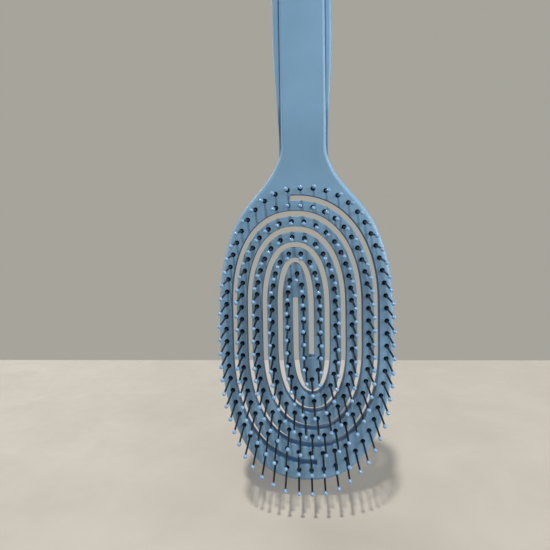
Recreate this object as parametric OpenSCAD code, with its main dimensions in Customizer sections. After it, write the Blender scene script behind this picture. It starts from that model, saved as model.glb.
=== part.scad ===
// Vented paddle brush: two welded shells with a double spiral of through slots,
// black pin strips between the shells, and ball-tipped pins in rows between the slots.
// +Z runs up the handle, the pins point along -Y, and the origin is the hang hole's centre.

/* [Head] */
// Width of the head
head_w = 77.6; // [74:0.2:82]
// Pattern centre to the bottom of the head
head_low = 70.4; // [70:0.2:72]
// Pattern centre to the top of the oval that the neck grows out of
head_high = 65; // [64:0.5:68]
// Squareness of the oval, where 2 is an ellipse
head_square = 2.4; // [2.3:0.05:2.6]
// Thickness of each shell in the head
head_half = 2.8; // [2.6:0.1:3.4]
// Radius of the shells' outer edges
edge_r = 2.2; // [1:0.1:2.4]

/* [Handle] */
// Width of the neck at its narrowest
neck_w = 21.4; // [21:0.2:26]
// Width of the grip
grip_w = 25.2; // [24:0.2:30]
// Width of the raised front panel
panel_w = 19.4; // [16:0.2:20]
// Pattern centre to the end of the handle
handle_top = 175; // [170:1:190]
// Depth of the panel's face in front of the parting plane
panel_depth = 6.5; // [6.5:0.1:8]
// Depth of the shoulders beside the panel
shoulder_depth = 5; // [4:0.1:5.5]
// Depth of the handle's back behind the parting plane
back_depth = 7; // [6.5:0.1:9]
// Hang hole's diameter
hang_d = 7; // [4:0.5:8]
// Hang hole's centre to the handle's end
hang_inset = 10; // [9:0.5:12]

/* [Slots] */
// Slot width
slot_w = 2.4; // [1.6:0.1:2.6]
// Distance from one slot to the next across the middle
slot_pitch = 7; // [6.9:0.05:7.1]
// Distance from one arc to the next above the middle
pitch_high = 6.9; // [6.8:0.05:7]
// Distance from one arc to the next below the middle
pitch_low = 8; // [7.8:0.05:8]
// Fullness of the arcs, where 2 is an ellipse
arc_square = 2.25; // [2.2:0.05:2.35]
// How far the middle of the spiral stands to the left
spiral_shift = 1; // [0:0.1:1.1]

/* [Pins] */
// Distance from pin to pin along a row
pin_pitch = 5.45; // [5:0.05:6.5]
// Pin shaft diameter
pin_d = 0.9; // [0.7:0.05:1.2]
// Length of a pin in front of the face, with its ball
pin_len = 18; // [12:0.5:22]
// Ball tip diameter
ball_d = 1.7; // [1.4:0.1:2]
// Diameter of the holes in the front shell
hole_d = 2.1; // [1.8:0.1:2.4]

/* [Hidden] */
TURNS = 5;

blue = [0.48, 0.62, 0.72];
ball_blue = [0.5, 0.7, 0.86];
black = [0.06, 0.07, 0.08];

// Heights from the pattern centre
hang_z = handle_top - hang_inset;
flare_low = 53;      // where the oval turns into the neck
flare_high = 77;     // where the neck's sides run straight up
neck_high = 82;      // where the handle starts to widen
grip_low = 126;      // where the handle has its full width
end_len = 14;        // length of the rounded end
end_square = 2.3;    // squareness of that end
rise_low = 60;       // where the face starts to rise towards the handle
rise_high = 96;      // where the face has the handle's full depth
shoulder_low = 80;   // where the shoulders start
shoulder_high = 98;  // where the shoulders have their full height
cavity_front = 104;  // where the front shell's cavity starts
cavity_back = 100;   // where the back shell's cavity starts
cavity_high = 152;   // where both cavities end

// Slot arcs and pin rows
arc_step = slot_pitch / 2;  // upper arcs are centred this far left, lower ones this far right
straight = 9;               // straight sides run this far each side of the middle
apex_high = 23;             // a turn's top is here plus the turns' pitch
apex_low = 21.5;
slot_start = 13.5;          // inner end of each slot
slot_end_angle = 92;        // the last arc stops just past its top
arc_points = 20;            // points on each half turn
first_drop = 2;             // how much lower the innermost row turns, to clear the slot's end
row_end_up = 110;           // where the last arc of each arm's row ends
row_end_down = 116;
mend = 0.01;                // growth that closes the spiral band's tight inner edge

// Strips and pins
strip_w = 2.4;
strip_t = 1.1;
strip_gap = 0.1;
foot_d = 1.8;
foot_t = 0.4;
ball_bore = 0.9;            // depth of the ball's hole
rim_inset = 3.3;            // rim row inside the outline, at the sides
rim_square = 2.35;
rim_low = head_low - 5.2;   // the rim row stands further in at its ends
rim_high = head_high - 3.6;
rim_points = 144;           // points on the rim row's line
rim_count = 58;             // pins in the rim row
fit = 0.15;                 // groove between the panel and the shoulders
panel_gap = 3.5;            // shoulder beyond the panel's end
wall = 2.2;                 // wall round the handle's cavity

// ---- curves ----

// Power of a sine or cosine that turns a circle into a squarer oval
function squared(v, n) = sign(v) * pow(abs(v), 2 / n);

// Point of an oval with different heights above and below its centre
function oval(t, w, high, low, n) =
    [w * squared(cos(t), n), (sin(t) > 0 ? high : low) * squared(sin(t), n)];

function ease(t) = t <= 0 ? 0 : t >= 1 ? 1 : (1 - cos(180 * t)) / 2;

function ramp(z, z0, z1, v0, v1) = v0 + (v1 - v0) * ease((z - z0) / (z1 - z0));

// Half-width of the oval at a height above the middle, and its slope
function oval_half(z) = head_w / 2 * pow(1 - pow(z / head_high, head_square), 1 / head_square);
function oval_slope(z) = oval_half(z + 0.5) - oval_half(z - 0.5);

// Half-width of the neck's flare, a cubic that leaves the oval smoothly
function flare_half(z) =
    let (len = flare_high - flare_low, t = (z - flare_low) / len)
    oval_half(flare_low) * (2 * pow(t, 3) - 3 * t * t + 1)
    + oval_slope(flare_low) * len * (pow(t, 3) - 2 * t * t + t)
    + neck_w / 2 * (3 * t * t - 2 * pow(t, 3));

// Right half of the outline, from the bottom up to the flare
head_side = [for (t = [-90:4:0]) oval(t, head_w / 2, head_high, head_low, head_square)];
head_upper = [for (z = [4:4:flare_low - 3]) [oval_half(z), z]];
flare_side = [for (z = [flare_low:2:flare_high]) [flare_half(z), z]];

// The handle's sides, to the rounded end, for a given half-width there
function handle_side(half) = [
    for (z = [neck_high - 2:4:handle_top - end_len - 2])
        [min(half, ramp(z, neck_high, grip_low, neck_w / 2, grip_w / 2)), z]
];
function end_side(half, gap) = [
    for (t = [0:10:90])
        [half * squared(cos(t), end_square), handle_top - end_len + (end_len - gap) * squared(sin(t), end_square)]
];

full_side = concat(head_side, head_upper, flare_side, handle_side(grip_w), end_side(grip_w / 2, 0));
front_side = concat(
    head_side, head_upper,
    [for (p = flare_side) [max(p[0], panel_w / 2), p[1]]],
    handle_side(panel_w / 2), end_side(panel_w / 2, panel_gap)
);

// Depths along the handle
function face_depth(z) = ramp(z, rise_low, rise_high, head_half, panel_depth);
function rear_depth(z) = ramp(z, rise_low, rise_high, head_half, back_depth);
function shoulders(z) = ramp(z, shoulder_low, shoulder_high, 0, shoulder_depth);

// ---- rounded slab ----

// Outward normal at point i of a half outline that starts and ends on the centre line
function normal(side, i) =
    let (
        a = i == 0 ? [-side[1][0], side[1][1]] : side[i - 1],
        b = i == len(side) - 1 ? [-side[i - 1][0], side[i - 1][1]] : side[i + 1],
        d = b - a
    )
    [d[1], -d[0]] / norm(d);

// Half outline moved inwards
function inset(side, by) = [for (i = [0:len(side) - 1]) side[i] - by * normal(side, i)];

// One ring of the slab: the inset outline at its depth, up the right side and down the left
function ring(side, depths, by, drop) = concat(
    [for (i = [0:len(side) - 1]) let (p = inset(side, by)[i]) [max(p[0], 0), -(depths[i] - drop), p[1]]],
    [for (i = [len(side) - 2:-1:1]) let (p = inset(side, by)[i]) [-p[0], -(depths[i] - drop), p[1]]]
);

// A closed slab with a rounded front edge, whose back is flat or follows the depths in behind
module slab(side, depths, r, behind = []) {
    steps = 4;
    n = 2 * len(side) - 2;
    m = len(side);
    back = len(behind) > 0 ? -behind : [for (d = depths) 0];
    rings = concat(
        [ring(side, back, 0, 0)],
        [for (s = [0:steps]) let (t = 90 * s / steps) ring(side, depths, r * (1 - cos(t)), r * (1 - sin(t)))]
    );
    last = len(rings) - 1;
    walls = [
        for (k = [0:last - 1]) for (i = [0:n - 1]) for (half = [0, 1])
            let (a = k * n + i, b = k * n + (i + 1) % n, c = a + n, d = b + n)
            half ? [a, c, d] : [a, d, b]
    ];
    // the flat ends are strips from side to side
    caps = [
        for (k = [0, last]) for (i = [0:m - 2])
            let (
                a = k * n + i, b = k * n + i + 1,
                c = k * n + (n - i - 1) % n, d = k * n + (n - i) % n,
                quad = i == 0 ? [a, b, c] : i == m - 2 ? [a, b, d] : [a, b, c, d]
            )
            k == 0 ? quad : [for (q = [len(quad) - 1:-1:0]) quad[q]]
    ];
    polyhedron(points = [for (r = rings) for (p = r) p], faces = concat(walls, caps));
}

// ---- slots and rows ----

// A point of the spiral, which stands to the left in the middle and hardly at the sides
function shifted(p) = [p[0] - spiral_shift * (1 - pow(2 * p[0] / head_w, 2)), p[1]];

// Half a turn: arc j of a slot or row, given its half-width and its height
function half_turn(up, half, apex, t1) = [
    for (i = [0:arc_points])
        let (t = t1 * i / arc_points, s = up ? 1 : -1)
        shifted([s * (half * squared(cos(t), arc_square) - arc_step),
                 s * (straight + (apex - straight) * squared(sin(t), arc_square))])
];

// Height of arc j, where slots have whole numbers and rows the halves between them
function apex(up, j) = up ? apex_high + pitch_high * j : apex_low + pitch_low * j;

// A slot's centre line, from its inner end outwards
function slot_line(up) = concat(
    [shifted([(up ? 1 : -1) * arc_step, (up ? -1 : 1) * slot_start])],
    [for (j = [1:TURNS])
        let (side = (j % 2 == 1) == up)
        each half_turn(side, slot_pitch * j, apex(side, j), j == TURNS ? slot_end_angle : 180)]
);

// The innermost row turns a little lower, to leave room for the slot's end
function row_apex(up, j) = apex(up, j + 0.5) - (j == 0 ? first_drop : 0);

function row_end(up) = up ? row_end_up : row_end_down;

// Turn j of an arm's pin row, which starts in the middle of the spiral
function row_turn(up, j) =
    let (side = (j % 2 == 0) == up, last = j == TURNS - 1)
    concat(
        j == 0 ? [shifted([0, 0])] : [],
        half_turn(side, slot_pitch * (j + 0.5), row_apex(side, j), last ? row_end(up) : 180)
    );
function row_line(up) = [for (j = [0:TURNS - 1]) each row_turn(up, j)];

function rim_point(t) = oval(t, head_w / 2 - rim_inset, rim_high, rim_low, rim_square);
rim_angles = [for (i = [0:rim_points - 1]) 360 * i / rim_points];
rim_line = [for (t = rim_angles) rim_point(t)];

// Running length along a line, and the point at a given length
function lengths(line, i = 1, sum = 0) =
    i == len(line) ? [sum] : concat([sum], lengths(line, i + 1, sum + norm(line[i] - line[i - 1])));
function along(line, sums, s) =
    let (i = [for (k = [1:len(sums) - 1]) if (sums[k] >= s) k][0])
    line[i - 1] + (line[i] - line[i - 1]) * (s - sums[i - 1]) / (sums[i] - sums[i - 1]);

// All of an arm's pins, and those on one of its turns
function arm_spots(up) =
    let (line = row_line(up), sums = lengths(line), total = sums[len(sums) - 1])
    [for (s = [pin_pitch / 2:pin_pitch:total]) [along(line, sums, s), s]];
function turn_end(up, j) =
    let (line = [for (k = [0:j]) each row_turn(up, k)], sums = lengths(line))
    sums[len(sums) - 1];
function turn_spots(up, j) =
    let (from = j == 0 ? 0 : turn_end(up, j - 1), to = turn_end(up, j))
    [for (p = arm_spots(up)) if (p[1] > from && p[1] <= to) p[0]];

closed_rim = concat(rim_line, [rim_line[0]]);
rim_sums = lengths(closed_rim);
rim_spots = [
    for (i = [0:rim_count - 1])
        along(closed_rim, rim_sums, (i + 0.5) * rim_sums[len(rim_sums) - 1] / rim_count)
];
row_spots = concat(
    rim_spots,
    [for (up = [true, false]) for (p = arm_spots(up)) p[0]]
);

// Outline of a band of a given width along an open line
function side_of(line, i) =
    let (a = line[max(i - 1, 0)], b = line[min(i + 1, len(line) - 1)], d = b - a)
    [d[1], -d[0]] / norm(d);
module band(line, w) {
    n = len(line) - 1;
    polygon(concat(
        [for (i = [0:n]) line[i] + side_of(line, i) * w / 2],
        [for (i = [n:-1:0]) line[i] - side_of(line, i) * w / 2]
    ));
}

// Both arms' rows as one line, from one outer end through the centre to the other
arm_a = row_line(true);
arm_b = row_line(false);
spiral_line = concat([for (i = [len(arm_a) - 1:-1:1]) arm_a[i]], arm_b);

// The innermost turns are so tight that the band's inner edge crosses itself, which offset() mends
module spiral_band(w) {
    offset(delta = mend) band(spiral_line, w - 2 * mend);
}

module slots() {
    band(slot_line(true), slot_w);
    band(slot_line(false), slot_w);
}

module rim_band(w) {
    difference() {
        polygon([for (t = rim_angles) rim_point(t) + w / 2 * rim_normal(t)]);
        polygon([for (t = rim_angles) rim_point(t) - w / 2 * rim_normal(t)]);
    }
}
function rim_normal(t) =
    let (d = rim_point(t + 1) - rim_point(t - 1))
    [d[1], -d[0]] / norm(d);

module spots(list, d) {
    for (p = list) translate(p) circle(d = d, $fn = 24);
}

// Stands a flat drawing up in the XZ plane and gives it depth, from y0 back to y1
module upright(y0, y1) {
    translate([0, y1, 0]) rotate([90, 0, 0]) linear_extrude(y1 - y0) children();
}

module handle_cavity(half, z0, z1) {
    translate([0, z0 + half]) circle(half, $fn = 48);
    translate([-half, z0 + half]) square([2 * half, z1 - z0 - 2 * half]);
    translate([0, z1 - half]) circle(half, $fn = 48);
}

module hang_hole() {
    translate([0, hang_z]) circle(d = hang_d, $fn = 48);
}

// Places a piece that is drawn round the pattern's centre into the brush's frame
module placed() {
    translate([0, 0, -hang_z]) children();
}

// ---- pieces ----

module front_shell() {
    color(blue) placed() difference() {
        difference() {
            difference() {
                slab(front_side, [for (p = front_side) face_depth(p[1])], edge_r);
                through_cuts();
            }
            upright(-strip_t - strip_gap, 1) {
                rim_band(strip_w + 2 * strip_gap);
                spiral_band(strip_w + 2 * strip_gap);
            }
            upright(wall - panel_depth, 1) handle_cavity(panel_w / 2 - wall, cavity_front, cavity_high);
        }
        upright(-head_half - 1, -strip_t) spots(row_spots, hole_d);
    }
}

module back_shell() {
    color(blue) placed() difference() {
        difference() {
            mirror([0, 1, 0])
                slab(full_side, [for (p = full_side) rear_depth(p[1])], edge_r,
                     [for (p = full_side) shoulders(p[1])]);
            through_cuts();
        }
        upright(-panel_depth, 0) panel_pocket();
        upright(-1, back_depth - wall) handle_cavity(grip_w / 2 - 2 * wall, cavity_back, cavity_high);
    }
}

// Slots and hang hole, right through the brush
module through_cuts() {
    upright(-panel_depth - 1, back_depth + 1) {
        slots();
        hang_hole();
    }
}

// The space between the shoulders, which the panel sits in
module panel_pocket() {
    pocket = concat(
        [[0, shoulder_low - 1], [panel_w / 2 + fit, shoulder_low - 1]],
        end_side(panel_w / 2 + fit, panel_gap - fit)
    );
    n = len(pocket) - 1;
    polygon(concat(pocket, [for (i = [n:-1:0]) [-pocket[i][0], pocket[i][1]]]));
}

module strip() {
    difference() {
        upright(-strip_t, 0) children();
        upright(-strip_t - 1, 1) spots(row_spots, pin_d);
        upright(-foot_t, 1) spots(row_spots, foot_d);
    }
}

module rim_strip() {
    color(black) placed() strip() rim_band(strip_w);
}

module spiral_strip() {
    color(black) placed() strip() spiral_band(strip_w);
}

// Pins with a flat foot that the strip holds
module pins(list) {
    shaft = head_half + pin_len - ball_d + ball_bore;
    color(black) placed() for (p = list) translate([p[0], 0, p[1]]) rotate([90, 0, 0]) {
        cylinder(d = pin_d, h = shaft, $fn = 24);
        cylinder(d = foot_d, h = foot_t, $fn = 24);
    }
}

// Balls with a blind hole that the pin's end fills
module tips(list) {
    reach = head_half + pin_len - ball_d / 2;
    color(ball_blue) placed() for (p = list) translate([p[0], -reach, p[1]]) rotate([90, 0, 0])
        difference() {
            sphere(d = ball_d, $fn = 32);
            translate([0, 0, -ball_d]) cylinder(d = pin_d, h = ball_d / 2 + ball_bore, $fn = 24);
        }
}

front_shell();
back_shell();
rim_strip();
spiral_strip();
pins(rim_spots);  // rim_pins
tips(rim_spots);  // rim_tips
for (up = [true, false]) for (j = [1:TURNS]) {
    name = str("arm_", up ? "a" : "b", "_turn_", j);
    pins(turn_spots(up, j - 1));
    tips(turn_spots(up, j - 1));
}
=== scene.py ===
"""Paddle hair brush with a spiral vent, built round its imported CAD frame.

The two moulded shells, the nylon pins and their ball tips are rebuilt here with rounded edges.
Shapes are drawn in millimetres round the middle of the head, with x to the right, z up the
handle and y to the back, and move to the row frame when their mesh is made.
"""

import math
import random

import bpy
from mathutils import Matrix, Vector
from mathutils.geometry import delaunay_2d_cdt


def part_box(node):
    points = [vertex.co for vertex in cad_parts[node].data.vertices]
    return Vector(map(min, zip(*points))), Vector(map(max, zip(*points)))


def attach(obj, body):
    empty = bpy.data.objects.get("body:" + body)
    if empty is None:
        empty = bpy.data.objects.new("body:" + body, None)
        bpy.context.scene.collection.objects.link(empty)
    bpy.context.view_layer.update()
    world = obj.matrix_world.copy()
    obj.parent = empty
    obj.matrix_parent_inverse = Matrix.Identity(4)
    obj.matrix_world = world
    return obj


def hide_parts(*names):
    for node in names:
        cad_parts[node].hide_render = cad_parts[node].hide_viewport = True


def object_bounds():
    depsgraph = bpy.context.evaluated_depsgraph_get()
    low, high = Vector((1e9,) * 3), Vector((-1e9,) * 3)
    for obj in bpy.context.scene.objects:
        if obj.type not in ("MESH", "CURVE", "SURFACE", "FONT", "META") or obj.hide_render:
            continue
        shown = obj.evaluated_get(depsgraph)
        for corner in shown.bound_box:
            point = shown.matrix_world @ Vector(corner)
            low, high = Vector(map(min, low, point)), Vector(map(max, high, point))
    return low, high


MM = 0.001

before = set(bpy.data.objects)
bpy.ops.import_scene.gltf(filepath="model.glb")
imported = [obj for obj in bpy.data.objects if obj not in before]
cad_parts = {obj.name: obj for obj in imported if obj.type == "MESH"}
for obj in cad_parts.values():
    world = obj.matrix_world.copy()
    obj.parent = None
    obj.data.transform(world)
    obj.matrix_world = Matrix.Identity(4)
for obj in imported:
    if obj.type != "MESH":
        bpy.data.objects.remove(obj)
cad_low, cad_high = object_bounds()

# ---- sizes in millimetres, from the frame where it has them ----

shell_low, shell_high = (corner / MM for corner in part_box("back_shell"))
panel_front = -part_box("front_shell")[0].y / MM
ball_front = -cad_low.y / MM

HANDLE_TOP = 175  # heights are over the middle of the head
HANG_Z = HANDLE_TOP - shell_high.z  # hang hole
HEAD_HALF_W = (shell_high.x - shell_low.x) / 2
HEAD_LOW = -shell_low.z - HANG_Z
HEAD_HIGH = 65
HEAD_SQUARE = 2.4  # 2 makes an oval, and more makes it squarer
HEAD_HALF_T = 2.8
HANG_R = 3.5

FLARE_LOW, FLARE_HIGH = 53, 77
NECK_HALF, NECK_TOP = 10.7, 82
GRIP_HALF, GRIP_LOW = 12.6, 126
END_LEN, END_SQUARE = 14, 2.3  # rounded end of the handle
RISE_LOW, RISE_HIGH = 60, 96
BACK_DEPTH = shell_high.y
SHOULDER_LOW, SHOULDER_HIGH, SHOULDER_DEPTH = 80, 98, 5

PANEL_HALF, PANEL_GAP = 9.7, 3.5
PANEL_LOW, PANEL_HIGH = 72, 80  # the panel leaves the outline between these heights
GROOVE = 0.15  # between the panel and the shoulders

SLOT_HALF = 1.2
SLOT_PITCH = 7
SLOT_START = 13.5
SLOT_END_ANGLE = 92
ARC_STEP, ARC_SQUARE, STRAIGHT = 3.5, 2.25, 9
APEX_HIGH, PITCH_HIGH = 23, 6.9
APEX_LOW, PITCH_LOW = 21.5, 8
TURNS = 5
SPIRAL_SHIFT = 1  # how far the middle of the spiral stands to the left

PIN_R = 0.45
BALL_R = 0.85
HOLE_R = 1.05

# Roundings and gaps of the mouldings
HEAD_EDGE, PANEL_EDGE, BACK_EDGE = 2.0, 1.3, 2.6
SLOT_EDGE, SLOT_CORNER = 0.3, 0.4
HOLE_EDGE = 0.12
HANG_EDGE = 0.7
SEAM = 0.05  # half of the line between the shells
SEAM_EDGE = 0.12
LIP, INNER_FACE = 0.45, 1.15  # rim of the front shell's hollow, and its depth
CROWN, END_DROP = 2.2, 1.3  # how far the handle's back falls away to its sides and its end
CROWN_LIMIT = 1.5  # where the crown stops falling, in half-widths of the grip
DROP_LEN = 10  # how far below the hang hole the end starts to fall away
SHOULDER_OUTER, SHOULDER_INNER = 0.45, 0.2  # roundings of a shoulder, as shares of its width

# Steps between points in millimetres, and on curves in degrees
HEAD_STEP, FLARE_STEP, HANDLE_STEP, SLOT_STEP = 1.5, 1, 2, 0.8
HEAD_TURN, END_TURN, SLOT_TURN, CORNER_TURN = 2, 4, 3, 22.5
GRID_STEP = 2.3  # extra points on the faces, where no column may lie on an edge
EDGE_RINGS, SLOT_RINGS, HANG_RINGS = 8, 4, 5  # rings of the roundings
SHOULDER_RINGS, POCKET_RINGS, FINE_RINGS = 6, 3, 2
HANG_SIDES, HOLE_SIDES = 64, 20

# ---- curves ----


def squared(value, power):
    """Turns a sine or cosine into that of a squarer oval."""
    return math.copysign(abs(value) ** (2 / power), value)


def ease(t):
    t = min(max(t, 0), 1)
    return (1 - math.cos(math.pi * t)) / 2


def ramp(z, z0, z1, v0, v1):
    return v0 + (v1 - v0) * ease((z - z0) / (z1 - z0))


def span(first, last, step):
    """Even values from first to last, both included, at most step apart."""
    count = max(1, math.ceil((last - first) / step - 1e-9))
    return [first + (last - first) * i / count for i in range(count + 1)]


def oval_half(z):
    """Half-width of the head's upper oval."""
    return HEAD_HALF_W * (1 - (z / HEAD_HIGH) ** HEAD_SQUARE) ** (1 / HEAD_SQUARE)


def flare_half(z):
    """Half-width where the head runs out into the neck, a cubic that leaves the oval smoothly."""
    length = FLARE_HIGH - FLARE_LOW
    t = (z - FLARE_LOW) / length
    slope = oval_half(FLARE_LOW + 0.5) - oval_half(FLARE_LOW - 0.5)
    return (
        oval_half(FLARE_LOW) * (2 * t**3 - 3 * t**2 + 1)
        + slope * length * (t**3 - 2 * t**2 + t)
        + NECK_HALF * (3 * t**2 - 2 * t**3)
    )


def full_half(z):
    """Half-width of the brush at a height above the middle of the head."""
    if z < FLARE_LOW:
        return oval_half(z)
    if z < FLARE_HIGH:
        return flare_half(z)
    return ramp(z, NECK_TOP, GRIP_LOW, NECK_HALF, GRIP_HALF)


def panel_half(z):
    """Half-width of the front shell, which narrows to a panel on the handle."""
    return full_half(z) + (PANEL_HALF - full_half(z)) * ease((z - PANEL_LOW) / (PANEL_HIGH - PANEL_LOW))


def side_points(half_at, end_half, end_gap):
    """Right half of an outline, from the bottom of the head up to the middle of the handle's end."""
    head = [
        (HEAD_HALF_W * squared(math.cos(a), HEAD_SQUARE), HEAD_LOW * squared(math.sin(a), HEAD_SQUARE))
        for a in (math.radians(t) for t in span(-90, 0, HEAD_TURN))
    ]
    head[0] = (0, -HEAD_LOW)
    heights = span(0, FLARE_LOW, HEAD_STEP)[1:] + span(FLARE_LOW, SHOULDER_HIGH, FLARE_STEP)[1:]
    heights += span(SHOULDER_HIGH, HANDLE_TOP - END_LEN, HANDLE_STEP)[1:-1]
    end = [
        (
            end_half * squared(math.cos(a), END_SQUARE),
            HANDLE_TOP - END_LEN + (END_LEN - end_gap) * squared(math.sin(a), END_SQUARE),
        )
        for a in (math.radians(t) for t in span(0, 90, END_TURN))
    ]
    end[-1] = (0, HANDLE_TOP - end_gap)
    return [Vector(p) for p in head + [(half_at(z), z) for z in heights] + end]


def mirrored(side):
    """The whole loop of an outline, anticlockwise, from its right half."""
    return side + [Vector((-p.x, p.y)) for p in side[-2:0:-1]]


def outwards(loop):
    """Unit normals of an anticlockwise loop."""
    count = len(loop)
    found = []
    for i in range(count):
        along = loop[(i + 1) % count] - loop[i - 1]
        found.append(Vector((along.y, -along.x)).normalized())
    return found


def face_depth(x, z):
    """Front of the shells, measured forwards from the seam. It is the same at every x."""
    return ramp(z, RISE_LOW, RISE_HIGH, HEAD_HALF_T, panel_front)


def rear_depth(x, z):
    """Back of the shells, measured backwards from the seam."""
    handle = ease((z - RISE_LOW) / (RISE_HIGH - RISE_LOW))
    depth = HEAD_HALF_T + (BACK_DEPTH - HEAD_HALF_T) * handle
    depth -= CROWN * handle * min(abs(x) / GRIP_HALF, CROWN_LIMIT) ** 2
    return depth - END_DROP * max(0, (z - HANG_Z + DROP_LEN) / (HANDLE_TOP - HANG_Z + DROP_LEN)) ** 2


def shoulder_depth(z):
    """Front of the shoulders, measured forwards from the seam."""
    return ramp(z, SHOULDER_LOW, SHOULDER_HIGH, -SEAM, SHOULDER_DEPTH)


# ---- slots ----


def apex(up, j):
    """How far half-turn j reaches up or down from the middle of the head."""
    return APEX_HIGH + PITCH_HIGH * j if up else APEX_LOW + PITCH_LOW * j


def shifted(x, z):
    """A point of the spiral, which stands to the left in the middle and hardly at the sides."""
    return Vector((x - SPIRAL_SHIFT * (1 - (x / HEAD_HALF_W) ** 2), z))


def half_turn(up, half, height, last_angle):
    """Half a turn of the spiral, as points along a squared oval with straight sides."""
    sign = 1 if up else -1
    points = []
    for t in span(0, last_angle, SLOT_TURN):
        a = math.radians(t)
        x = half * squared(math.cos(a), ARC_SQUARE) - ARC_STEP
        z = STRAIGHT + (height - STRAIGHT) * squared(math.sin(a), ARC_SQUARE)
        points.append(shifted(sign * x, sign * z))
    return points


def slot_line(up):
    """A slot's centre line, from its inner end outwards."""
    sign = 1 if up else -1
    line = [shifted(sign * ARC_STEP, -sign * SLOT_START)]
    for j in range(1, TURNS + 1):
        side = (j % 2 == 1) == up
        line += half_turn(side, SLOT_PITCH * j, apex(side, j), SLOT_END_ANGLE if j == TURNS else 180)
    return line


def evenly(line, step, trim):
    """Points step apart along a line that is trimmed at both ends."""
    lengths = [0]
    for a, b in zip(line, line[1:]):
        lengths.append(lengths[-1] + (b - a).length)
    points, k = [], 1
    for s in span(trim, lengths[-1] - trim, step):
        while lengths[k] < s:
            k += 1
        part = (s - lengths[k - 1]) / (lengths[k] - lengths[k - 1])
        points.append(line[k - 1].lerp(line[k], part))
    return points


def slot_loop(up):
    """Edge of a slot as (points, directions into the slot), with small rounded corners at its square ends."""
    line = evenly(slot_line(up), SLOT_STEP, SLOT_CORNER)
    count = len(line)
    along = [(line[min(i + 1, count - 1)] - line[max(i - 1, 0)]).normalized() for i in range(count)]
    points, into = [], []

    def run(order, sign):
        for i in order:
            left = sign * Vector((-along[i].y, along[i].x))
            points.append(line[i] + left * SLOT_HALF)
            into.append(-left)

    def corner(centre, start, end):
        for t in span(0, 90, CORNER_TURN)[1:]:
            a = math.radians(t)
            ray = start * math.cos(a) + end * math.sin(a)
            points.append(centre + ray * SLOT_CORNER)
            into.append(-ray)

    def cap(i, sign):
        ahead = sign * along[i]
        left = Vector((-ahead.y, ahead.x))
        half = SLOT_HALF - SLOT_CORNER
        corner(line[i] + left * half, left, ahead)
        corner(line[i] - left * half, ahead, -left)
        points.pop()
        into.pop()

    run(range(count), 1)
    cap(count - 1, 1)
    run(reversed(range(count)), -1)
    cap(0, -1)
    return points, into


def circle(centre, radius, sides):
    """Edge of a round hole as (points, directions into the hole)."""
    rays = [Vector((math.cos(a), math.sin(a))) for a in (2 * math.pi * i / sides for i in range(sides))]
    return [centre + ray * radius for ray in rays], [-ray for ray in rays]


# ---- meshes ----


class Skin:
    """A mesh made of rings, where each corner of a face keeps the true surface's normal."""

    def __init__(self):
        self.points, self.index, self.faces, self.corners = [], {}, [], []

    def number(self, point):
        key = tuple(round(c, 4) for c in point)
        if key not in self.index:
            self.index[key] = len(self.points)
            self.points.append(point)
        return self.index[key]

    def face(self, corners):
        """Adds a face of (point, normal) corners, turned to face along its normals."""
        kept = []
        for point, normal in corners:
            i = self.number(point)
            if all(i != other for other, _ in kept):
                kept.append((i, normal))
        if len(kept) < 3:
            return
        where = [self.points[i] for i, _ in kept]
        across = (where[2] - where[0]).cross(where[-1] - where[1])
        if across.dot(sum((n for _, n in kept), Vector((0, 0, 0)))) < 0:
            kept.reverse()
        self.faces.append([i for i, _ in kept])
        self.corners += [n for _, n in kept]

    def bridge(self, ring, other):
        """Joins two closed rings of as many corners."""
        for i in range(len(ring)):
            self.face([ring[i - 1], ring[i], other[i], other[i - 1]])

    def rings(self, rings):
        for ring, other in zip(rings, rings[1:]):
            self.bridge(ring, other)

    def fill(self, outer, holes, extra, place):
        """Triangles inside one loop and outside others. place gives a flat point's corner."""
        flat, loops = [], []
        for loop in [outer, *holes]:
            turn = sum(a.cross(b) for a, b in zip(loop, loop[1:] + loop[:1]))
            loops.append(list(range(len(flat), len(flat) + len(loop))))
            flat += loop if turn > 0 else loop[::-1]
        flat += extra
        _, _, triangles, sources, _, owners = delaunay_2d_cdt(flat, [], loops, 0, 1e-5)
        for triangle, owner in zip(triangles, owners):
            if list(owner) == [0]:
                self.face([place(flat[sources[i][0]]) for i in triangle])


def solid(point, y):
    return Vector((point.x, y, point.y))


def facing(depth, sign):
    """Maker of corners on a face that is depth(x, z) from the seam, in front (-1) or behind (1)."""
    step = 0.02

    def place(p):
        slope_x = (depth(p.x + step, p.y) - depth(p.x - step, p.y)) / (2 * step)
        slope_z = (depth(p.x, p.y + step) - depth(p.x, p.y - step)) / (2 * step)
        return solid(p, sign * depth(p.x, p.y)), Vector((-slope_x, sign, -slope_z)).normalized()

    return place


def level(y, sign):
    """Maker of corners on a flat face at y."""
    return lambda p: (solid(p, y), Vector((0, sign, 0)))


def rounded(edge, radius, place, steps):
    """Rings of a rounded edge, from its face to its wall. radius is a number or one for each point."""
    points, out = edge
    radii = radius if isinstance(radius, list) else [radius] * len(points)
    rings = []
    for k in range(steps + 1):
        a = math.pi / 2 * k / steps
        ring = []
        for p, n, r in zip(points, out, radii):
            top, up = place(p - n * r * (1 - math.sin(a)))
            drop = Vector((0, math.copysign(r * (1 - math.cos(a)), up.y), 0))
            normal = solid(n, 0) * math.sin(a) + up * math.cos(a)
            ring.append((top - drop, normal.normalized()))
        rings.append(ring)
    return rings


def wall(edge, y):
    """Ring on a straight wall at y."""
    return [(solid(p, y), solid(n, 0)) for p, n in zip(*edge)]


def moved(edge, by):
    """An edge moved into its hole or off its outline, and with a negative sign into the material."""
    points, out = edge
    return [p + n * by for p, n in zip(points, out)], out


def flat_points(ring):
    return [Vector((p.x, p.z)) for p, _ in ring]


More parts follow.
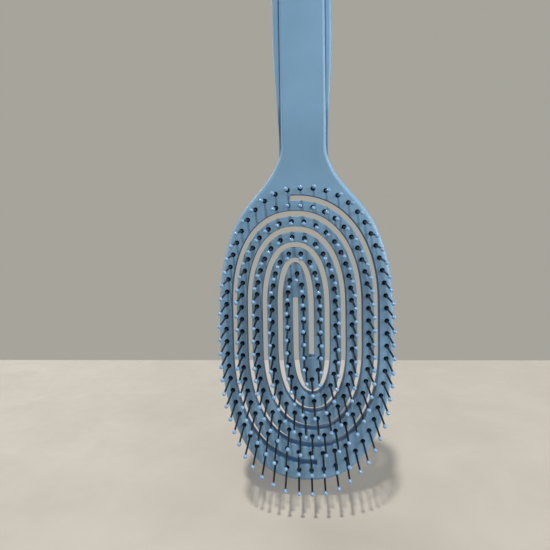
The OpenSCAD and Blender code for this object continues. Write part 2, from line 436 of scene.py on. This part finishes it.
def handle_grid():
    """Extra points where the faces aren't flat, which the fill keeps where they lie on them."""
    half = 9 * GRID_STEP
    return [
        Vector((x, z))
        for z in span(RISE_LOW - 6, HANDLE_TOP, GRID_STEP)
        for x in span(-half, half, GRID_STEP)
    ]


def make_object(name, skin, material, nodes):
    """A piece in the row frame that stands for some CAD nodes."""
    mesh = bpy.data.meshes.new(name)
    offset = Vector((0, 0, -HANG_Z))
    mesh.from_pydata([tuple((p + offset) * MM) for p in skin.points], [], skin.faces)
    mesh.polygons.foreach_set("use_smooth", [True] * len(mesh.polygons))
    mesh.normals_split_custom_set([tuple(n) for n in skin.corners])
    mesh.materials.append(material)
    obj = bpy.data.objects.new(name, mesh)
    bpy.context.scene.collection.objects.link(obj)
    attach(obj, "root")
    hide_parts(*nodes)
    return obj


def pin_centres(node):
    """Centres of the pins' feet in a CAD node, in the drawing's millimetres."""
    groups = []
    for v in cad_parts[node].data.vertices:
        p = Vector((v.co.x / MM, v.co.z / MM + HANG_Z))
        if v.co.y / MM < -HEAD_HALF_T / 2:
            continue
        near = next((g for g in groups if (g[0] - p).length < 2 * HOLE_R), None)
        if near:
            near.append(p)
        else:
            groups.append([p])
    return [Vector([(min(side) + max(side)) / 2 for side in zip(*group)]) for group in groups]


# ---- shells ----


def vents():
    """Edge, rounding and rings of the openings that both shells have."""
    slots = [(slot_loop(up), SLOT_EDGE, SLOT_RINGS) for up in (True, False)]
    return [*slots, (circle(Vector((0, HANG_Z)), HANG_R, HANG_SIDES), HANG_EDGE, HANG_RINGS)]


def front_shell(material, holes):
    """Slotted face with a hole for each pin, and the panel that runs up the handle."""
    skin = Skin()
    place = facing(face_depth, -1)
    loop = mirrored(side_points(panel_half, PANEL_HALF, PANEL_GAP))
    outline = (loop, outwards(loop))
    radii = [ramp(p.y, RISE_LOW, RISE_HIGH, HEAD_EDGE, PANEL_EDGE) for p in loop]
    faces, hollows = [], []
    for edge, radius, steps in [(outline, radii, EDGE_RINGS), *vents()]:
        front = rounded(edge, radius, place, steps)
        seam = rounded(edge, SEAM_EDGE, level(-SEAM, 1), FINE_RINGS)[::-1]
        inner = moved(edge, -LIP)
        skin.rings(front + seam)
        skin.bridge(seam[-1], [level(-SEAM, 1)(p) for p in inner[0]])
        turned = (inner[0], [-n for n in inner[1]])
        skin.bridge(wall(turned, -SEAM), wall(turned, -INNER_FACE))
        faces.append(flat_points(front[0]))
        hollows.append(inner[0])
    for edge in (circle(centre, HOLE_R, HOLE_SIDES) for centre in holes):
        front = rounded(edge, HOLE_EDGE, place, FINE_RINGS)
        skin.rings(front + [wall(edge, -INNER_FACE)])
        faces.append(flat_points(front[0]))
        hollows.append(edge[0])
    skin.fill(faces[0], faces[1:], handle_grid(), place)
    skin.fill(hollows[0], hollows[1:], [], level(-INNER_FACE, 1))
    return make_object("front_shell_moulding", skin, material, ["front_shell"])


def pocket_side():
    """Right half of the edge of the pocket that the panel lies in, point for point with the outline."""
    full = side_points(full_half, GRIP_HALF, 0)
    normals = outwards(mirrored(full))
    panel = side_points(panel_half, PANEL_HALF + GROOVE, PANEL_GAP - GROOVE)
    found = []
    for p, n, q in zip(full, normals, panel):
        on_handle = ease((p.y - PANEL_LOW) / (PANEL_HIGH - PANEL_LOW))
        narrow = min(q.x, PANEL_HALF + GROOVE) if p.y > PANEL_HIGH else q.x + GROOVE
        side = Vector((narrow, q.y))
        found.append((p - n * LIP).lerp(side, on_handle))
    found[0].x = found[-1].x = 0
    return found


def back_shell(material):
    """Back of the head and of the handle, with the shoulders that the panel lies between."""
    skin = Skin()
    place = facing(rear_depth, 1)
    loop = mirrored(side_points(full_half, GRIP_HALF, 0))
    outline = (loop, outwards(loop))
    pocket = mirrored(pocket_side())
    pocket_edge = (pocket, [-n for n in outwards(pocket)])
    widths = [(p - q).length for p, q in zip(loop, pocket)]
    raised = [ease((p.y - SHOULDER_LOW) / (SHOULDER_HIGH - SHOULDER_LOW)) for p in loop]
    back_radii = [ramp(p.y, RISE_LOW, RISE_HIGH, HEAD_EDGE, BACK_EDGE) for p in loop]
    outer_radii = [SEAM_EDGE + (SHOULDER_OUTER * w - SEAM_EDGE) * r for w, r in zip(widths, raised)]
    inner_radii = [SHOULDER_INNER * w * r for w, r in zip(widths, raised)]
    shoulder = facing(lambda x, z: shoulder_depth(z), -1)
    back = rounded(outline, back_radii, place, EDGE_RINGS)
    outer = rounded(outline, outer_radii, shoulder, SHOULDER_RINGS)[::-1]
    inner = rounded(pocket_edge, inner_radii, shoulder, POCKET_RINGS)
    skin.rings(back + outer)
    skin.bridge(outer[-1], inner[0])
    skin.rings(inner + [wall(pocket_edge, SEAM)])
    faces, floors = [flat_points(back[0])], [pocket]
    for edge, radius, steps in vents():
        rings = rounded(edge, radius, place, steps)
        skin.rings(rings + [wall(edge, SEAM)])
        faces.append(flat_points(rings[0]))
        floors.append(edge[0])
    skin.fill(faces[0], faces[1:], handle_grid(), place)
    skin.fill(floors[0], floors[1:], [], level(SEAM, -1))
    return make_object("back_shell_moulding", skin, material, ["back_shell"])


# ---- pins and tips ----

SHAFT_END = ball_front - 2 * BALL_R + 0.9  # how far forward a shaft reaches, inside its ball
LEAN = 0.3  # spread of the tips about their axes, as two standard deviations
DROOP = 0.8  # how far the tips hang below their feet
PIN_SIDES, BALL_SIDES = 12, 20


def pin_profile():
    """Radius and forward distance along a pin: its foot, its neck through the strip, a cone and the shaft."""
    foot = [(0, 0.01), (0.84, 0.01), (0.88, 0.05), (0.88, 0.34), (0.84, 0.38), (PIN_R, 0.39)]
    neck = [(PIN_R - 0.01, 0.5), (PIN_R - 0.01, 1.1), (PIN_R + 0.2, 1.18)]
    root = [(0.62, 1.4), (0.56, 1.8), (0.51, 2.4), (0.48, 3.2)]
    shaft = [(0.475 - 0.07 * (f - 4) / (SHAFT_END - 4), f) for f in span(4, SHAFT_END - 0.02, 2.3)]
    return foot + neck + root + shaft + [(0, SHAFT_END - 0.01)]


def ball_profile():
    """Ball tip, with the blind hole that its pin ends in."""
    middle = ball_front - BALL_R
    hole = PIN_R - 0.02
    start = math.degrees(math.asin(hole / BALL_R))
    sphere = [
        (BALL_R * math.sin(a), middle - BALL_R * math.cos(a))
        for a in (math.radians(t) for t in span(start, 180, 13))
    ]
    sphere[-1] = (0, ball_front)
    return [(0, SHAFT_END + 0.02), (hole - 0.03, SHAFT_END + 0.02), (hole, SHAFT_END - 0.03)] + sphere


def lathe(skin, centre, profile, sides, lean):
    """Turns a profile of (radius, forward distance) round a pin's axis, which bends by lean at its tip."""
    rows = []
    for k, (radius, forward) in enumerate(profile):
        before, after = profile[max(k - 1, 0)], profile[min(k + 1, len(profile) - 1)]
        along = Vector((after[0] - before[0], after[1] - before[1])).normalized()
        if k in (0, len(profile) - 1):
            along = Vector((1 if k == 0 else -1, 0))
        axis = centre + lean * (forward / ball_front) ** 2
        row = []
        for i in range(sides):
            a = 2 * math.pi * i / sides
            ray = Vector((math.cos(a), math.sin(a)))
            normal = solid(ray * along.y, along.x)
            row.append((solid(axis + ray * radius, -forward), normal))
        rows.append(row)
    skin.rings(rows)


def pin_row(name, centres, leans, profile, sides, material):
    """All the pins or balls of one row, as separate closed shapes in one piece."""
    skin = Skin()
    for centre, lean in zip(centres, leans):
        lathe(skin, centre, profile, sides, lean)
    return make_object(name + "_moulding", skin, material, [name])


# ---- materials ----


def new_material(name):
    """An empty plastic: its material, its shader and a maker of linked nodes."""
    material = bpy.data.materials.new(name)
    material.use_nodes = True
    tree = material.node_tree
    shader = tree.nodes["Principled BSDF"]

    def add(kind, settings=(), **inputs):
        node = tree.nodes.new(kind)
        for key, value in settings:
            setattr(node, key, value)
        for key, value in inputs.items():
            socket = node.inputs[key.replace("_", " ")]
            if isinstance(value, bpy.types.NodeSocket):
                tree.links.new(value, socket)
            else:
                socket.default_value = value
        return node

    def join(source, socket):
        tree.links.new(source, shader.inputs[socket])

    return material, shader, add, join


def noise(add, place, scale, detail=2.0, distortion=0.0):
    return add("ShaderNodeTexNoise", Vector=place, Scale=scale, Detail=detail, Distortion=distortion)


def between(add, value, low, high):
    """value, which runs from about 0.3 to 0.7, stretched to run from low to high."""
    return add(
        "ShaderNodeMapRange",
        Value=value,
        From_Min=0.3,
        From_Max=0.7,
        To_Min=low,
        To_Max=high,
    ).outputs["Result"]


def mix(add, factor, first, second):
    node = add("ShaderNodeMix", [("data_type", "RGBA")])
    for socket, value in (("Factor_Float", factor), ("A_Color", first), ("B_Color", second)):
        target = next(s for s in node.inputs if s.identifier == socket)
        if isinstance(value, bpy.types.NodeSocket):
            node.id_data.links.new(value, target)
        else:
            target.default_value = value
    return next(s for s in node.outputs if s.identifier == "Result_Color")


def colour(red, green, blue):
    """A linear colour from the 0 to 255 values that a screen shows."""

    def linear(value):
        value /= 255
        return value / 12.92 if value <= 0.04045 else ((value + 0.055) / 1.055) ** 2.4

    return (linear(red), linear(green), linear(blue), 1)


# Noise scales in features per metre: flow marks, specks, uneven gloss and surface grain
FLOW_SCALE, SPECK_SCALE, GLOSS_SCALE, GRAIN_SCALE = 26, 900, 140, 2600
GRAIN_DEPTH = 0.00006
SHADE_REACH = 0.004  # how far round a point its surroundings count as a gap, for the painted shade
FULL_SHADE_OPENNESS, NO_SHADE_OPENNESS = 0.25, 0.75  # open share of the surroundings at which the painted gap shade is full, and none


def moulded(name, light, dark, roughness, grain, coat=0.0, gap_shade=None):
    """Moulded plastic: faint flow marks, uneven gloss, a fine grain, and painted shade in narrow gaps, a
    darker and bluer colour.
    """
    material, shader, add, join = new_material(name)
    place = add("ShaderNodeTexCoord").outputs["Object"]
    clouds = noise(add, place, FLOW_SCALE, 3, 0.6).outputs["Fac"]
    specks = noise(add, place, SPECK_SCALE, 2).outputs["Fac"]
    broad = mix(add, between(add, clouds, 0, 1), light, dark)
    base = mix(add, between(add, specks, 0, 0.18), broad, dark)
    # Painted shade: where ambient occlusion finds the surroundings closed in, as in slots and grooves, the
    # colour turns to the darker, bluer gap shade
    if gap_shade:
        openness = add("ShaderNodeAmbientOcclusion", [("samples", 6)], Distance=SHADE_REACH).outputs["AO"]
        narrow = add(
            "ShaderNodeMapRange",
            Value=openness,
            From_Min=FULL_SHADE_OPENNESS,
            From_Max=NO_SHADE_OPENNESS,
            To_Min=1,
            To_Max=0,
        ).outputs["Result"]
        base = mix(add, narrow, base, gap_shade)
    join(base, "Base Color")
    gloss = noise(add, place, GLOSS_SCALE, 4, 0.3).outputs["Fac"]
    join(between(add, gloss, roughness - 0.05, roughness + 0.06), "Roughness")
    fine = noise(add, place, GRAIN_SCALE, 3).outputs["Fac"]
    bump = add("ShaderNodeBump", Strength=grain, Distance=GRAIN_DEPTH, Height=fine)
    join(bump.outputs["Normal"], "Normal")
    shader.inputs["IOR"].default_value = 1.5
    shader.inputs["Specular IOR Level"].default_value = 0.38
    shader.inputs["Coat Weight"].default_value = coat
    shader.inputs["Coat Roughness"].default_value = 0.12
    return material


# ---- camera, light and floor ----

CAMERA = Vector((-0.0008, -0.2059, -0.1194))
YAW, PITCH, ROLL = 3.48, 3.12, -0.97
LENS, SENSOR, SHIFT_Y = 30.22, 36, -0.045
AMBIENT = 0.55  # strength of the light from the surroundings
FLOOR_DROP = 0.009  # how far the floor lies below the brush
FLOOR_BACK, FLOOR_HALF = 0.215, 1.6
AIM = Vector((0, 0, -0.15))  # where the lights point
WARM, COOL, NEUTRAL = (1.0, 0.965, 0.91), (0.96, 0.98, 1.0), (0.98, 0.99, 1.0)


def add_camera():
    """Camera a little above the middle of the head, with a small shift that frames the handle."""
    data = bpy.data.cameras.new("camera")
    data.sensor_width = SENSOR
    data.lens = LENS
    data.shift_y = SHIFT_Y
    camera = bpy.data.objects.new("camera", data)
    turn = Matrix.Rotation(math.radians(YAW), 4, "Z") @ Matrix.Rotation(math.radians(90 - PITCH), 4, "X")
    camera.matrix_world = Matrix.Translation(CAMERA) @ turn @ Matrix.Rotation(math.radians(ROLL), 4, "Z")
    bpy.context.scene.collection.objects.link(camera)
    bpy.context.scene.camera = camera


def add_light(data, place, energy, tint):
    """Puts a light at place. The camera sees what it lights and not the light itself."""
    data.energy = energy
    data.color = tint
    light = bpy.data.objects.new(data.name, data)
    light.location = place
    light.rotation_mode = "QUATERNION"
    light.rotation_quaternion = (AIM - Vector(place)).to_track_quat("-Z", "Y")
    light.visible_camera = False
    bpy.context.scene.collection.objects.link(light)


def add_panel(name, place, size, power, tint):
    """A round soft light."""
    data = bpy.data.lights.new(name, "AREA")
    data.shape = "DISK"
    data.size = size
    add_light(data, place, power, tint)


def add_sun(name, place, angle, strength, tint):
    """A light that is equally strong everywhere, as from a lamp far up."""
    data = bpy.data.lights.new(name, "SUN")
    data.angle = math.radians(angle)
    add_light(data, place, strength, tint)


def add_surroundings():
    """Pale surroundings, which give less light than they show."""
    world = bpy.data.worlds.new("surroundings")
    world.use_nodes = True
    tree = world.node_tree
    seen = tree.nodes["Background"]
    seen.inputs["Color"].default_value = colour(166, 164, 155)
    soft = tree.nodes.new("ShaderNodeBackground")
    soft.inputs["Color"].default_value = colour(162, 167, 172)
    soft.inputs["Strength"].default_value = AMBIENT
    choice = tree.nodes.new("ShaderNodeMixShader")
    ray = tree.nodes.new("ShaderNodeLightPath")
    tree.links.new(ray.outputs["Is Camera Ray"], choice.inputs["Fac"])
    tree.links.new(soft.outputs["Background"], choice.inputs[1])
    tree.links.new(seen.outputs["Background"], choice.inputs[2])
    tree.links.new(choice.outputs["Shader"], tree.nodes["World Output"].inputs["Surface"])
    bpy.context.scene.world = world


def add_floor():
    z = cad_low.z - FLOOR_DROP
    mesh = bpy.data.meshes.new("floor")
    corners = [
        (-FLOOR_HALF, -FLOOR_HALF, z),
        (FLOOR_HALF, -FLOOR_HALF, z),
        (FLOOR_HALF, FLOOR_BACK, z),
        (-FLOOR_HALF, FLOOR_BACK, z),
    ]
    mesh.from_pydata(corners, [], [(0, 1, 2, 3)])
    floor = bpy.data.objects.new("floor", mesh)
    mesh.materials.append(moulded("pale_floor", colour(163, 157, 148), colour(157, 151, 142), 0.6, 0.2))
    bpy.context.scene.collection.objects.link(floor)


def add_studio():
    """Pale floor and surroundings, an even light from above in front, and a soft light on every side."""
    bpy.context.scene.view_settings.view_transform = "Standard"
    add_surroundings()
    add_floor()
    add_sun("ceiling", (-0.10, -0.43, 0.85), 4.2, 3.2, WARM)
    add_panel("room", (0.84, -0.88, 0.27), 1.0, 10.0, (0.97, 0.99, 1.0))
    add_panel("right", (1.1, 0.0, 0.11), 0.6, 7.2, NEUTRAL)
    add_panel("left", (-1.1, 0.0, 0.11), 0.6, 4.4, COOL)
    add_panel("rear", (-0.6, 0.9, 0.55), 0.8, 5.2, COOL)


# ---- the whole brush ----


def add_brush():
    """Shells, strips, pins and balls, which stand for or finish every CAD node."""
    plastic = moulded(
        "satin_blue",
        light=colour(108, 144, 173),
        dark=colour(101, 137, 165),
        roughness=0.4,
        grain=0.25,
        # painted shade for slot walls and grooves, darker and bluer than the plastic
        gap_shade=colour(40, 108, 160),
    )
    nylon = moulded("black_nylon", colour(24, 25, 28), colour(17, 18, 20), 0.38, 0.3)
    gloss = moulded("gloss_blue", colour(106, 145, 182), colour(99, 137, 173), 0.2, 0.08, 0.4)
    rows = sorted(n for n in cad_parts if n.endswith("_pins"))
    centres = {row: pin_centres(row) for row in rows}
    front_shell(plastic, [c for row in rows for c in centres[row]])
    back_shell(plastic)
    for name in ("rim_strip", "spiral_strip"):
        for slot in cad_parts[name].material_slots:
            slot.material = nylon
    chance = random.Random(11)
    for row in rows:
        leans = [
            Vector((chance.gauss(0, 0.5) * LEAN, chance.gauss(0, 0.5) * LEAN - DROOP))
            for _ in centres[row]
        ]
        tips = row.replace("_pins", "_tips")
        pin_row(row, centres[row], leans, pin_profile(), PIN_SIDES, nylon)
        pin_row(tips, centres[row], leans, ball_profile(), BALL_SIDES, gloss)


add_brush()
add_camera()
add_studio()
